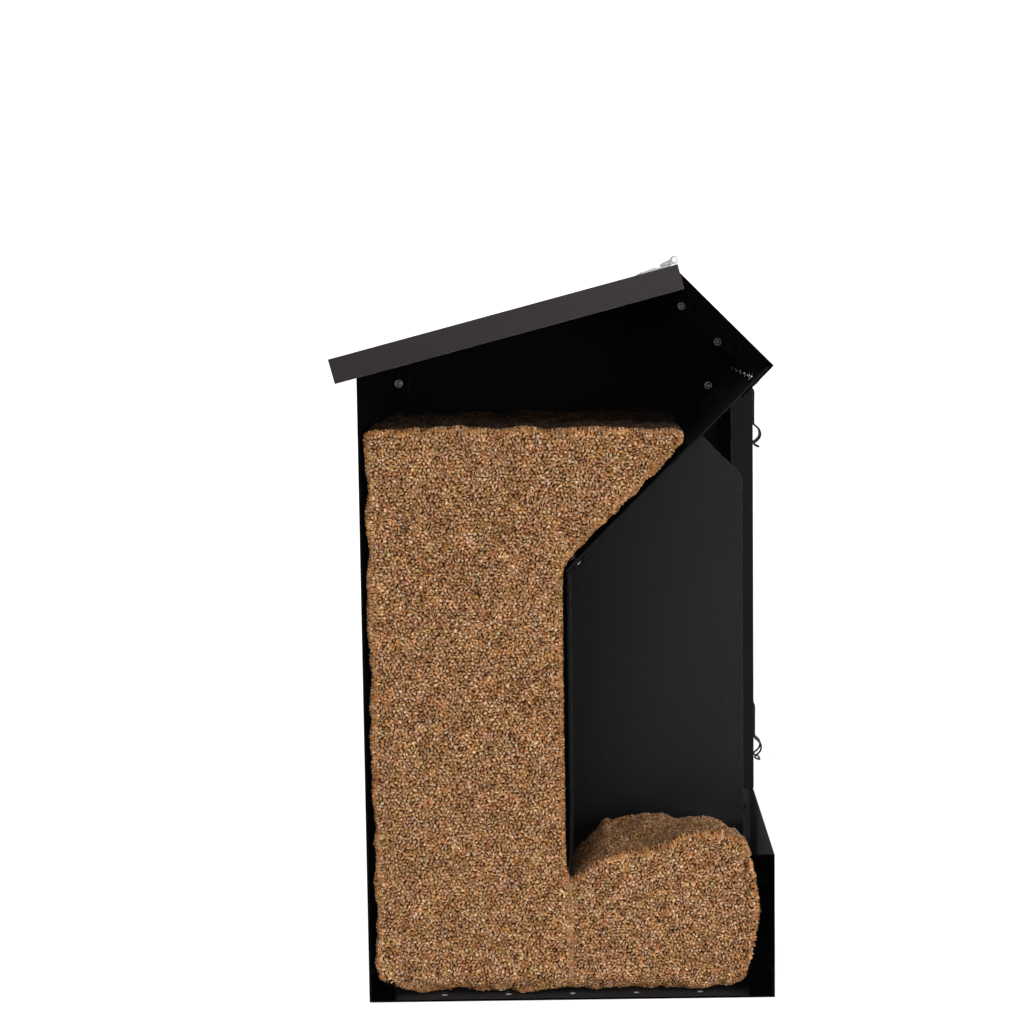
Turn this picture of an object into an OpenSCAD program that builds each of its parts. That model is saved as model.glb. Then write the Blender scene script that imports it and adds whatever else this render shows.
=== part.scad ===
// Gravity feeder for rabbits, folded and riveted from sheet steel.
// A tall hopper at the back lets feed slide under a baffle into a low
// trough at the front. A divider splits the trough into two feeding bays,
// a sloping hood keeps rain off, and a tray lid on a full-width hinge
// closes the hopper. Four wire clips hang the feeder on cage wire.
// Frame: +X is the feeding side, +Z is up, the origin is in the middle of
// the base. All lengths are in millimetres.

/* [Housing] */
// Depth of the housing, from the back panel to the feeding side
depth = 167; // [160:1:175]
// Width of the housing over its side panels
width = 94; // [92:1:110]
// Thickness of the sheet steel
sheet = 0.8; // [0.6:0.1:1]
// Width of the folded flanges and tabs
flange = 10; // [9:0.5:11]
// Height of the trough's front lip
trough_h = 60; // [50:1:70]

/* [Hood and chute] */
// Height of the hood's front edge above the base
tip_z = 260.6; // [258:0.1:264]
// Length of the fold under the hood's front edge
return_len = 18; // [15:1:20]
// Forward offset of the ridge where lid and hood meet
ridge_x = 43.3; // [41:0.1:46]
// Height of the baffle's lower edge, the throat of the hopper
throat_z = 52.6; // [45:0.2:58]

/* [Divider] */
// Forward position of the divider's front edge
divider_x = 75; // [70:0.5:77]
// Radius of the divider's front corner
divider_r = 6; // [3:0.5:8]

/* [Lid] */
// Slope of the closed lid, in degrees
lid_tilt = 14.67; // [13:0.01:16]
// Length of the lid along its slope
lid_len = 141.4; // [140:0.1:145]
// Width of the lid
lid_w = 120; // [116:1:130]
// Depth of the lid's folded rims
lid_rim = 10; // [8:0.5:12]

/* [Hinge] */
// Outer radius of the hinge knuckles
knuckle_r = 1.9; // [1.8:0.1:2]
// Radius of the hinge pin
pin_r = 1.05; // [1:0.01:1.06]
// Length of the hinge along its pin
hinge_len = 90; // [88:1:90]
// Width of each hinge leaf, from the pin
leaf_w = 14.2; // [13:0.1:16]

/* [Floor] */
// Diameter of the dust holes
hole_d = 3; // [2:0.5:4]
// Pitch of the dust holes from back to front
hole_px = 26.5; // [24:0.5:28]
// Pitch of the dust holes from side to side
hole_py = 27.4; // [24:0.2:28]

/* [Clips] */
// Radius of the clip wire
wire_r = 0.45; // [0.4:0.05:0.6]
// Height of the lower clips' loops
clip_lo = 79.6; // [76:0.1:90]
// Height of the upper clips' loops
clip_hi = 225.6; // [210:0.1:228]

/* [Hidden] */

black = [0.035, 0.035, 0.038];
lid_black = [0.06, 0.055, 0.055];
zinc = [0.78, 0.79, 0.8];

hd = depth / 2;              // front and back faces
hw = width / 2;              // outer faces of the side panels
iw = hw - sheet;             // inner faces of the side panels
S = hd + tip_z;              // the hood's outer face is x + z = S
K = tip_z - hd;              // the return's outer face is z - x = K
r2 = sqrt(2);
lift = 2.1;                  // height of the pin over the lid and the hood
tuck = 0.05;                 // how far a folded tab lies inside the cut edge
lid_gap = 0.25;              // gap between the lid and the panels under it

// Unit normals of the closed lid and of the hood, as [x, z].
n1 = [-sin(lid_tilt), cos(lid_tilt)];
n2 = [1 / r2, 1 / r2];
ridge = [ridge_x, S - ridge_x];
pin = ridge + lift * (n1 + n2) / (1 + n1 * n2);
lid_o = pin - lift * n1;     // the lid's top corner under the pin
foot_x = ((pin[0] - hd) - (pin[1] - tip_z)) / r2; // the pin, along the hood

// Height of the side panels' top edge at x.
function top_z(x) = ridge[1] + (x - ridge[0]) * tan(lid_tilt)
  - (sheet + lid_gap) / cos(lid_tilt);
ridge_top_x = (S - ridge[1] + ridge[0] * tan(lid_tilt)
  + (sheet + lid_gap) / cos(lid_tilt)) / (1 + tan(lid_tilt));

// The chute's lower face is z - x = chute_c, on top of the hood's return.
chute_c = K + sheet * r2;
chute_len = (S - sheet * r2 - chute_c) / r2 - 1.2;

// Rivets: shank, head and blind tail. Those of the hinge have low heads.
shank_r = 1.2;
head_r = 2.3;
head_h = 0.9;
low_head = 0.4;
tail_r = 2.1;
hole_gap = 0.05;

// Where the side panels are riveted, as [x, z].
side_rivets = [
  [hd - (15.9 + 5.75) / r2, tip_z + (15.9 - 5.75) / r2],
  [hd - (39.2 + 5.75) / r2, tip_z + (39.2 - 5.75) / r2],
  [hd - (4.9 + 23) / r2, tip_z + (4.9 - 23) / r2],
  [-hd + 5.2, 250],
  [-hd + 5.2, 7],
  [hd - 5.2, 7],
  [hd - 5.2, 24],
  [hd - 5.2, 50]];
lap_y = [-40, -20, 0, 20, 40];
baffle_y = [-40, -13.5, 13.5, 40];
leaf_y = [-36, -12, 12, 36];
back_y = [-30, 0, 30];
divider_z = [76, 118, 160];
divider_s = [32, 58];

// Clip holes in the front flanges: distance over the loop, and spread.
clip_top = 20.6;
clip_half = 2.8;
clip_y = hw - 5;

// A plate whose outline is given as [x, z], from y0 to y0 + t.
module slab(y0, t) {
  translate([0, y0 + t, 0]) rotate([90, 0, 0]) linear_extrude(t) children();
}
// Frames of the closed lid, of the hood and of the chute. Local z points
// out of the sheet's named face, and local y is the width.
module on_lid() translate([lid_o[0], 0, lid_o[1]]) rotate([0, -lid_tilt, 0]) children();
module on_hood() translate([hd, 0, tip_z]) rotate([0, 45, 0]) children();
module on_chute() translate([0, 0, chute_c]) rotate([0, -45, 0]) children();

// A blind rivet with its head on z = 0 and a grip of g below it. The tail
// is a bead rolled outwards round the end of the pulled stem.
module rivet(g, h = head_h) {
  rotate_extrude($fn = 28) polygon([[0, -g - 2.5], [0.62, -g - 2.5],
    [0.78, -g - 2.3], [0.8, -g - 1.85], [1.05, -g - 1.65], [1.3, -g - 1.75],
    [1.65, -g - 1.75], [tail_r - 0.15, -g - 1.5], [tail_r, -g - 1.1],
    [tail_r - 0.15, -g - 0.6], [1.6, -g - 0.25], [1.45, -g], [shank_r, -g],
    [shank_r, 0], [head_r, 0], [head_r, 0.28 * h], [1.9, 0.69 * h],
    [1.2, 0.95 * h], [0.7, h], [0.62, 0.73 * h], [0, 0.73 * h]]);
}
module rivet_hole(g) {
  translate([0, 0, -g - 1]) cylinder(r = shank_r + hole_gap, h = g + 2, $fn = 28);
}

// Places for the rivets of each group, with their grip.
module at_side_rivets() {
  for (p = side_rivets) translate([p[0], hw, p[1]]) rotate([-90, 0, 0]) children();
}
module at_lap_rivets() {
  for (y = lap_y) on_hood() translate([0, y, -9.5]) rotate([0, 90, 0]) children();
}
module at_baffle_rivets() {
  for (y = baffle_y) on_chute() translate([4.6, y, -sheet]) rotate([180, 0, 0]) children();
}
module at_divider_rivets() {
  for (z = divider_z) translate([sheet * 1.5, 5.6, z]) rotate([0, 90, 0]) children();
  for (s = divider_s) on_chute() translate([s, 5.6, -sheet]) rotate([180, 0, 0]) children();
}
module at_back_rivets() {
  for (y = back_y) translate([-hd, y, 6.4]) rotate([0, -90, 0]) children();
}
module at_hinge_rivets_fixed() {
  for (y = leaf_y) on_hood() translate([foot_x + 9.4, y, 0]) children();
}
module at_hinge_rivets_lid() {
  for (y = leaf_y) on_lid() translate([-9.4, y, sheet]) children();
}

// Side panel on the +Y side: a flat wall that follows the whole outline,
// with a flange across the front and a lip folded back into the bay.
module side_panel() {
  difference() {
    union() {
      slab(iw, sheet) polygon([[-hd, 0], [hd, 0], [hd, tip_z],
        [ridge_top_x, S - ridge_top_x], [-hd, top_z(-hd)]]);
      translate([hd - sheet, hw - flange, trough_h + 1])
        cube([sheet, flange - sheet / 2, tip_z - 1.4 - trough_h - 1]);
      slab(hw - flange, sheet) polygon([[hd - flange, trough_h + 1],
        [hd - sheet / 2, trough_h + 1], [hd - sheet / 2, tip_z - 1.4 - sheet / 2],
        [hd - flange, tip_z - 1.4 - flange]]);
    }
    at_side_rivets() rivet_hole(2 * sheet);
    for (z = [clip_lo, clip_hi], y = [-clip_half, clip_half])
      translate([hd - 2, clip_y + y, z + clip_top]) rotate([0, 90, 0])
        cylinder(r = wire_r + 0.15, h = 4, $fn = 24);
  }
}

module side_panel_right() color(black) side_panel();

module side_panel_left() color(black, 0.2) mirror([0, 1, 0]) side_panel();

// Back panel with a tab at each side, near its top, and a row of rivets
// to the floor.
module back_panel() {
  color(black) difference() {
    union() {
      translate([-hd, -iw, 0]) cube([sheet, 2 * iw, top_z(-hd) - 0.05]);
      for (m = [0, 1]) mirror([0, m, 0]) slab(iw - sheet - tuck, sheet)
        polygon([[-hd + sheet / 2, 239], [-hd + flange - 1.5, 239], [-hd + flange, 240.5],
          [-hd + flange, 258.5], [-hd + flange - 1.5, 260], [-hd + sheet / 2, 260]]);
    }
    for (m = [0, 1]) mirror([0, m, 0]) at_side_rivets() rivet_hole(2 * sheet);
    at_back_rivets() rivet_hole(2 * sheet);
  }
}

// Floor: a plate with dust holes, an upturned flange at the front and at
// the back, and a tab at each corner.
module floor_panel() {
  fx = hd - sheet;
  color(black) difference() {
    union() {
      translate([-fx, -iw, 0]) cube([2 * fx, 2 * iw, sheet]);
      for (m = [0, 1]) mirror([m, 0, 0]) {
        translate([-fx, -iw + sheet + 0.6, 0]) cube([sheet, 2 * (iw - sheet - 0.6), 12.8]);
        for (n = [0, 1]) mirror([0, n, 0]) slab(iw - sheet, sheet)
          polygon([[-fx + 0.2, sheet / 2], [-fx + flange, sheet / 2], [-fx + flange, 11.6],
            [-fx + flange - 1.2, 12.8], [-fx + 0.2, 12.8]]);
      }
    }
    for (i = [-2:2], j = [-1.5:1.5]) translate([i * hole_px, j * hole_py, -1])
      cylinder(d = hole_d, h = sheet + 2, $fn = 24);
    for (m = [0, 1]) mirror([0, m, 0]) at_side_rivets() rivet_hole(2 * sheet);
    at_back_rivets() rivet_hole(2 * sheet);
  }
}

// Low wall in front of the trough, with a flange against each side panel.
module trough_front() {
  color(black) difference() {
    union() {
      translate([hd - sheet, -iw, 0]) cube([sheet, 2 * iw, trough_h]);
      for (m = [0, 1]) mirror([0, m, 0])
        translate([hd - flange, iw - sheet, 13.2])
          cube([flange - sheet / 2, sheet, trough_h - 13.2]);
    }
    for (m = [0, 1]) mirror([0, m, 0]) at_side_rivets() rivet_hole(2 * sheet);
  }
}

// Sloping hood with a fold under its front edge and a flange inside each
// side panel.
module hood_panel() {
  top = -(ridge_top_x - hd) * r2;
  color(black) difference() {
    union() {
      on_hood() {
        translate([-top, -iw, -sheet]) cube([top, 2 * iw, sheet]);
        translate([-sheet, -iw, -return_len]) cube([sheet, 2 * iw, return_len - sheet / 2]);
        for (m = [0, 1]) mirror([0, m, 0])
          slab(iw - sheet - tuck, sheet) polygon([[-top + 8, -sheet / 2], [-3.4, -sheet / 2],
            [-3.4, -flange], [-top + 11, -flange], [-top + 8, -flange + 3]]);
      }
    }
    for (m = [0, 1]) mirror([0, m, 0]) at_side_rivets() rivet_hole(2 * sheet);
    at_lap_rivets() rivet_hole(2 * sheet);
    at_hinge_rivets_fixed() rivet_hole(2 * sheet);
  }
}

// Sloping plate that carries the feed over the bays, with a tab at each
// side near its top.
module chute_plate() {
  color(black) difference() {
    union() {
      on_chute() {
        translate([-0.4, -iw, 0]) cube([chute_len + 0.4, 2 * iw, sheet]);
        for (m = [0, 1]) mirror([0, m, 0]) slab(iw - sheet - tuck, sheet)
          polygon([[83.5, sheet / 2], [105, sheet / 2], [105, flange - 1.5],
            [103.5, flange], [85, flange], [83.5, flange - 1.5]]);
      }
    }
    for (m = [0, 1]) mirror([0, m, 0]) at_side_rivets() rivet_hole(2 * sheet);
    at_lap_rivets() rivet_hole(2 * sheet);
    at_baffle_rivets() rivet_hole(2 * sheet);
    at_divider_rivets() rivet_hole(2 * sheet);
  }
}

// Upright baffle between hopper and bays. Its top is bent to lie under
// the chute.
module baffle_plate() {
  h = sheet / 2;
  fold = 12;
  color(black) difference() {
    slab(-iw, 2 * iw) polygon([[-h, throat_z], [h, throat_z], [h, chute_c - sheet * r2 + h],
      [(fold + sheet) / r2, chute_c + (fold - sheet) / r2],
      [fold / r2, chute_c + fold / r2], [-h, chute_c - h]]);
    at_baffle_rivets() rivet_hole(2 * sheet);
    at_divider_rivets() rivet_hole(2 * sheet);
  }
}

// Divider between the two bays, with one flange on the baffle and one
// under the chute.
module divider_plate() {
  h = sheet / 2;
  c = 286.3;                     // the chamfered corner is x + z = c
  step = 13.6;                   // clears the baffle's fold
  arc_z = c - divider_x - divider_r * tan(22.5);
  color(black) difference() {
    union() {
      slab(-h, sheet) polygon(concat(
        [[h, sheet + 0.2], [divider_x, sheet + 0.2]],
        [for (a = [0:9:45]) [divider_x - divider_r + divider_r * cos(a),
          arc_z + divider_r * sin(a)]],
        [[(c - chute_c) / 2, (c + chute_c) / 2],
         [step / r2, chute_c + step / r2],
         [step / r2 + 0.75, chute_c + step / r2 - 0.75],
         [h, chute_c + h - 1.5]]));
      translate([h, 0, throat_z + 8]) cube([sheet, 10, 174 - throat_z - 8]);
      on_chute() translate([step + 2, 0, -sheet]) cube([52, 10, sheet]);
    }
    at_divider_rivets() rivet_hole(2 * sheet);
  }
}

// Shallow tray lid, upside down, with rims on three sides. The middle of
// its front edge is cut back to clear the hinge.
module lid_tray() {
  color(lid_black) difference() {
    on_lid() difference() {
      translate([-lid_len, -lid_w / 2, -lid_rim]) cube([lid_len, lid_w, lid_rim]);
      translate([-lid_len + sheet, -lid_w / 2 + sheet, -lid_rim - 1])
        cube([lid_len + 1, lid_w - 2 * sheet, lid_rim + 1 - sheet]);
      translate([-3.9, -hw - 0.5, -sheet - 1]) cube([6, 2 * hw + 1, sheet + 2]);
    }
    at_hinge_rivets_lid() rivet_hole(2 * sheet);
  }
}

// The hinge. Its knuckles stand over the ridge in turn, first of one half
// and then of the other. The lid's leaf lies on the lid and is notched
// round the other half's knuckles. The hood's leaf lies under the hood,
// and narrow webs carry its knuckles up through the gap before the lid.
knuckles = 9;
pitch = hinge_len / knuckles;
web_x = 0.55;                // where the webs begin
fixed_x = 1.05;              // where the leaf behind them begins
module in_turn(first) {
  for (i = [first:2:knuckles - 1]) translate([0, -hinge_len / 2 + i * pitch, 0]) children();
}
module knuckle_row(first) {
  in_turn(first) translate([0, 0.15, lift]) rotate([-90, 0, 0])
    cylinder(r = knuckle_r, h = pitch - 0.3, $fn = 32);
}
module pin_bore() {
  translate([0, -hinge_len / 2 - 1, lift]) rotate([-90, 0, 0])
    cylinder(r = pin_r + 0.05, h = hinge_len + 2, $fn = 32);
}

module hinge_leaf_fixed() {
  color(zinc) difference() {
    on_hood() translate([foot_x, 0, 0]) difference() {
      union() {
        translate([fixed_x, -hinge_len / 2, -2 * sheet]) cube([leaf_w - fixed_x, hinge_len, sheet]);
        in_turn(0) translate([web_x, 0.15, -2 * sheet + 0.2]) cube([sheet, pitch - 0.3, 2 * sheet + 1]);
        knuckle_row(0);
      }
      pin_bore();
    }
    at_hinge_rivets_fixed() rivet_hole(2 * sheet);
  }
}

module hinge_leaf_lid() {
  color(zinc) difference() {
    on_lid() difference() {
      union() {
        difference() {
          translate([-leaf_w, -hinge_len / 2, 0]) cube([leaf_w, hinge_len, sheet]);
          in_turn(0) translate([0, -0.3, lift]) rotate([-90, 0, 0])
            cylinder(r = 3.6, h = pitch + 0.6, $fn = 48);
        }
        knuckle_row(1);
      }
      pin_bore();
    }
    at_hinge_rivets_lid() rivet_hole(2 * sheet);
  }
}

module hinge_pin() {
  color(zinc) translate([pin[0], 0, pin[1]]) rotate([-90, 0, 0]) {
    translate([0, 0, -hinge_len / 2 - 0.1]) cylinder(r = pin_r, h = hinge_len + 0.2, $fn = 32);
    for (m = [0, 1]) mirror([0, 0, m]) translate([0, 0, hinge_len / 2 + 0.1])
      cylinder(r1 = 1.5, r2 = 1.1, h = 0.7, $fn = 32);
  }
}

// Wire swept along points p, with k sides.
function unit(v) = v / norm(v);
function tangent(p, i) = unit(p[min(i + 1, len(p) - 1)] - p[max(i - 1, 0)]);
function normals(p, i, n) = i == len(p) ? [] :
  let (t = tangent(p, i), m = unit(n - t * (n * t))) concat([m], normals(p, i + 1, m));
module wire(p, r, k) {
  ns = normals(p, 0, [0.1, 0.2, 0.97]);
  pts = [for (i = [0:len(p) - 1], j = [0:k - 1])
    let (a = 360 * j / k, b = cross(tangent(p, i), ns[i]))
      p[i] + r * (cos(a) * ns[i] + sin(a) * b)];
  sides = [for (i = [0:len(p) - 2], j = [0:k - 1])
    [i * k + j, (i + 1) * k + j, (i + 1) * k + (j + 1) % k, i * k + (j + 1) % k]];
  polyhedron(pts, concat([[for (j = [0:k - 1]) j]], sides,
    [[for (j = [k - 1:-1:0]) (len(p) - 1) * k + j]]), 4);
}

// One leg of a clip, from the hook behind the flange over the top, down
// the flange and round the loop that takes the cage wire, as [x, z] from
// the flange's front face and the loop's middle.
w = wire_r;
leg = [[-sheet - w - 0.15, clip_top - 4], [-sheet - w - 0.15, clip_top - 1.3],
  [-sheet - w + 0.05, clip_top - 0.5], [-sheet - 0.1, clip_top],
  [-0.3, clip_top], [0.3, clip_top - 0.15], [w + 0.1, clip_top - 0.9], [w + 0.2, clip_top - 2],
  [w + 0.1, clip_top - 8], [w + 0.1, 6], [w + 0.15, 4.9], [w + 0.6, 4.1], [w + 1.6, 3.3],
  [w + 2.7, 2.2], [w + 3.2, 0.9], [w + 3.3, -0.5], [w + 2.8, -1.9], [w + 1.7, -3.1],
  [w + 0.6, -3.9], [w + 0.3, -4.5], [w + 0.7, -5.1], [w + 1.5, -5.5]];
module clip(side, z) {
  tail = [w + 2.3, -5.8];
  at = [for (q = leg) [hd + q[0], -clip_half, z + q[1]]];
  u = [for (a = [-75:25:75]) [hd + tail[0] + 0.55 * cos(a) - 0.15, clip_half * sin(a),
    z + tail[1] - 0.12 * cos(a)]];
  color(zinc) translate([0, side * clip_y, 0])
    wire(concat(at, u, [for (i = [len(at) - 1:-1:0]) [at[i][0], clip_half, at[i][2]]]), w, 8);
}
module clip_upper_left() clip(-1, clip_hi);
module clip_upper_right() clip(1, clip_hi);
module clip_lower_left() clip(-1, clip_lo);
module clip_lower_right() clip(1, clip_lo);

module rivets_side_right() color(zinc) at_side_rivets() rivet(2 * sheet + tuck);
module rivets_side_left() color(zinc) mirror([0, 1, 0]) at_side_rivets() rivet(2 * sheet + tuck);
module rivets_hood_lap() color(zinc) at_lap_rivets() rivet(2 * sheet);
module rivets_baffle() color(zinc) at_baffle_rivets() rivet(2 * sheet);
module rivets_divider() color(zinc) at_divider_rivets() rivet(2 * sheet);
module rivets_back() color(zinc) at_back_rivets() rivet(2 * sheet);
module rivets_hinge_fixed() color(black) at_hinge_rivets_fixed() rivet(2 * sheet, low_head);
module rivets_hinge_lid() color(zinc) at_hinge_rivets_lid() rivet(2 * sheet, low_head);

side_panel_left();
side_panel_right();
back_panel();
floor_panel();
trough_front();
hood_panel();
chute_plate();
baffle_plate();
divider_plate();
lid_tray();
hinge_leaf_fixed();
hinge_leaf_lid();
hinge_pin();
clip_upper_left();
clip_upper_right();
clip_lower_left();
clip_lower_right();
rivets_side_left();
rivets_side_right();
rivets_hood_lap();
rivets_baffle();
rivets_divider();
rivets_back();
rivets_hinge_fixed();
rivets_hinge_lid();
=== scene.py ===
import math

import bpy
import numpy as np
from mathutils import Matrix, Vector, noise
from mathutils.geometry import delaunay_2d_cdt


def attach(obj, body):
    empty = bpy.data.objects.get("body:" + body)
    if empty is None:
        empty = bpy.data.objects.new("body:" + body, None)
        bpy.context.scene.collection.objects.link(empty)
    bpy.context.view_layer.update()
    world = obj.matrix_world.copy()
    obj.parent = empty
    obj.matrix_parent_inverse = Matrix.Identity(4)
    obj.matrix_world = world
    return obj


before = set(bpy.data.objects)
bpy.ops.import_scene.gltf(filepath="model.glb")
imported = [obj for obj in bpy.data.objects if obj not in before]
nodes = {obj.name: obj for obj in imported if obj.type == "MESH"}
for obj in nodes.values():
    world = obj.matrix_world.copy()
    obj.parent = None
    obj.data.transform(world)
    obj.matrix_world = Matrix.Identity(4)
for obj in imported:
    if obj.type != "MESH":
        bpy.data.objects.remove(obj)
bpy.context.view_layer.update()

MM = 0.001
scene = bpy.context.scene
scene.view_settings.view_transform = "Standard"
scene.view_settings.look = "None"
scene.view_settings.exposure = 0.0
scene.view_settings.gamma = 1.0
# a look through the clear side crosses many clear faces
scene.cycles.transparent_max_bounces = 32


# ------------------------------------------------------------------ camera

def make_camera():
    pitch, yaw, roll = (math.radians(a) for a in (4.133, 0.524, -0.541))
    forward = Vector((math.sin(yaw) * math.cos(pitch), math.cos(yaw) * math.cos(pitch), -math.sin(pitch)))
    right = Vector((math.cos(yaw), -math.sin(yaw), 0))
    up = right.cross(forward)
    x = right * math.cos(roll) + up * math.sin(roll)
    y = -right * math.sin(roll) + up * math.cos(roll)
    data = bpy.data.cameras.new("camera")
    data.sensor_width = 36
    data.lens = 53.87
    data.shift_x = -0.0957
    data.shift_y = -0.10
    data.clip_start = 0.02
    data.clip_end = 50
    cam = bpy.data.objects.new("camera", data)
    bpy.context.collection.objects.link(cam)
    turn = Matrix((x, y, -forward)).transposed().to_4x4()
    cam.matrix_world = Matrix.Translation((0.01212, -0.65852, 0.28786)) @ turn
    scene.camera = cam


make_camera()


# ------------------------------------------------------------------ node helpers

def new_material(name):
    m = bpy.data.materials.new(name)
    m.use_nodes = True
    nt = m.node_tree
    nt.nodes.clear()
    out = nt.nodes.new("ShaderNodeOutputMaterial")
    bsdf = nt.nodes.new("ShaderNodeBsdfPrincipled")
    nt.links.new(bsdf.outputs["BSDF"], out.inputs["Surface"])
    return m, nt, bsdf


def add(nt, kind, at=None, **values):
    n = nt.nodes.new(kind)
    for key, value in (at or {}).items():
        setattr(n, key, value)
    for key, value in values.items():
        socket = n.inputs[int(key[1:])] if key[0] == "_" else n.inputs[key]
        if hasattr(value, "is_output"):
            nt.links.new(value, socket)
        else:
            socket.default_value = value
    return n


def place(nt):
    return nt.nodes.new("ShaderNodeTexCoord").outputs["Object"]


def noise_of(nt, vector, scale, detail=2.0, rough=0.5, distortion=0.0):
    return add(nt, "ShaderNodeTexNoise", Vector=vector, Scale=scale, Detail=detail, Roughness=rough,
               Distortion=distortion).outputs["Fac"]


def math_of(nt, kind, a, b=0.5, clamp=False):
    return add(nt, "ShaderNodeMath", {"operation": kind, "use_clamp": clamp}, _0=a, _1=b).outputs[0]


def spread(nt, value, low, high, to_low=0.0, to_high=1.0, smooth=False):
    n = add(nt, "ShaderNodeMapRange", {"clamp": True})
    if smooth:
        n.interpolation_type = "SMOOTHSTEP"
    nt.links.new(value, n.inputs["Value"])
    for key, x in (("From Min", low), ("From Max", high), ("To Min", to_low), ("To Max", to_high)):
        n.inputs[key].default_value = x
    return n.outputs["Result"]


def mix(nt, factor, a, b, kind="MIX"):
    n = add(nt, "ShaderNodeMix", {"data_type": "RGBA", "blend_type": kind, "clamp_factor": True})
    for socket, value in ((n.inputs[0], factor), (n.inputs[6], a), (n.inputs[7], b)):
        if hasattr(value, "is_output"):
            nt.links.new(value, socket)
        elif isinstance(value, (int, float)):
            socket.default_value = value
        else:
            socket.default_value = (*value, 1.0)
    return n.outputs[2]


def bump(nt, bsdf, height, distance, strength=1.0):
    b = add(nt, "ShaderNodeBump", Height=height, Distance=distance, Strength=strength)
    nt.links.new(b.outputs["Normal"], bsdf.inputs["Normal"])


def edge_mask(nt, radius, low, high):
    """1 along the sheet's cut edges and folds, 0 on its faces."""
    rounded = add(nt, "ShaderNodeBevel", {"samples": 4}, Radius=radius)
    flat = nt.nodes.new("ShaderNodeNewGeometry")
    dot = add(nt, "ShaderNodeVectorMath", {"operation": "DOT_PRODUCT"}, _0=rounded.outputs["Normal"],
              _1=flat.outputs["Normal"])
    return spread(nt, dot.outputs["Value"], low, high)


# ------------------------------------------------------------------ materials

def powder_coat(name, dark, light, rough, specular, wear_and_highlight, dust=0.35, peel=0.00003, painted_shade_ramp=None):
    """Matt powder coat: fine orange peel, slow changes of tone, dust specks, and lighter rubbed edges that are partly
    wear and partly a painted highlight; optionally a painted shade ramp along X.
    """
    m, nt, bsdf = new_material(name)
    p = place(nt)
    broad = noise_of(nt, p, 16, 4, 0.6)
    fine = noise_of(nt, p, 1300, 2, 0.6)
    speck = noise_of(nt, p, 700, 3, 0.6)
    rub = noise_of(nt, p, 240, 4, 0.65)
    colour = mix(nt, spread(nt, broad, 0.3, 0.7), dark, light)
    if painted_shade_ramp:
        # painted shade: the coat is darkened towards one end of X, standing in for the light falling off there
        along = add(nt, "ShaderNodeSeparateXYZ", Vector=p).outputs["X"]
        colour = mix(nt, spread(nt, along, painted_shade_ramp[0], painted_shade_ramp[1]), (painted_shade_ramp[2],) * 3, colour)
    dusty = math_of(nt, "MULTIPLY", spread(nt, speck, 0.66, 0.74), dust)
    colour = mix(nt, dusty, colour, (0.05, 0.045, 0.04))
    # the edges are rubbed to a lighter grey: partly wear, partly a painted highlight of the light the edges catch
    edge = edge_mask(nt, 0.0006, 0.985, 0.80)
    worn_and_highlit = math_of(nt, "MULTIPLY", edge, spread(nt, rub, 0.42, 0.62))
    worn_and_highlit = math_of(nt, "MULTIPLY", worn_and_highlit, wear_and_highlight)
    colour = mix(nt, worn_and_highlit, colour, (0.13, 0.13, 0.135))
    nt.links.new(colour, bsdf.inputs["Base Color"])
    r = spread(nt, noise_of(nt, p, 90, 5, 0.6), 0.25, 0.75, rough - 0.06, rough + 0.08)
    nt.links.new(r, bsdf.inputs["Roughness"])
    bsdf.inputs["Specular IOR Level"].default_value = specular
    height = math_of(nt, "ADD", fine, math_of(nt, "MULTIPLY", noise_of(nt, p, 380, 1), 1.2))
    bump(nt, bsdf, height, peel, 0.6)
    return m


def bright_metal(name, base, tint, rough, streak, bump_size=0.00002, axis=(1, 1, 1), spots=0.0,
                 spot_tint=(0.3, 0.28, 0.25), metallic=1.0, drawn=0.35):
    """Plated or bare metal: drawn streaks, cloudy tone and small dull spots."""
    m, nt, bsdf = new_material(name)
    p = place(nt)
    scaled = add(nt, "ShaderNodeVectorMath", {"operation": "MULTIPLY"}, _0=p, _1=axis).outputs[0]
    lines = noise_of(nt, scaled, streak, 3, 0.7)
    cloud = noise_of(nt, p, 120, 4, 0.6)
    colour = mix(nt, spread(nt, cloud, 0.3, 0.7), base, tint)
    colour = mix(nt, spread(nt, lines, 0.25, 0.75, 0.0, drawn), colour, tuple(c * 0.55 for c in base))
    if spots:
        s = spread(nt, noise_of(nt, p, 420, 3, 0.6), 0.62, 0.72, 0.0, spots)
        colour = mix(nt, s, colour, spot_tint)
    nt.links.new(colour, bsdf.inputs["Base Color"])
    bsdf.inputs["Metallic"].default_value = metallic
    r = spread(nt, math_of(nt, "ADD", math_of(nt, "MULTIPLY", lines, 0.5), math_of(nt, "MULTIPLY", cloud, 0.5)),
               0.3, 0.7, rough - 0.08, rough + 0.1)
    nt.links.new(r, bsdf.inputs["Roughness"])
    bump(nt, bsdf, lines, bump_size, 0.5)
    return m


def clear_sheet(name, alpha, gloss):
    """Clear stand-in for what the picture cuts away: fine rubbing marks in the gloss."""
    m, nt, bsdf = new_material(name)
    p = place(nt)
    rub = noise_of(nt, p, 260, 4, 0.7, 0.6)
    nt.links.new(spread(nt, rub, 0.3, 0.7, 0.10, 0.24), bsdf.inputs["Roughness"])
    nt.links.new(mix(nt, spread(nt, noise_of(nt, p, 30, 3), 0.3, 0.7), (0.006, 0.0065, 0.007), (0.011, 0.0115, 0.012)),
                 bsdf.inputs["Base Color"])
    bsdf.inputs["Specular IOR Level"].default_value = gloss
    bsdf.inputs["Alpha"].default_value = alpha
    bump(nt, bsdf, noise_of(nt, p, 900, 2), 0.000008, 0.3)
    return m


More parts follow.
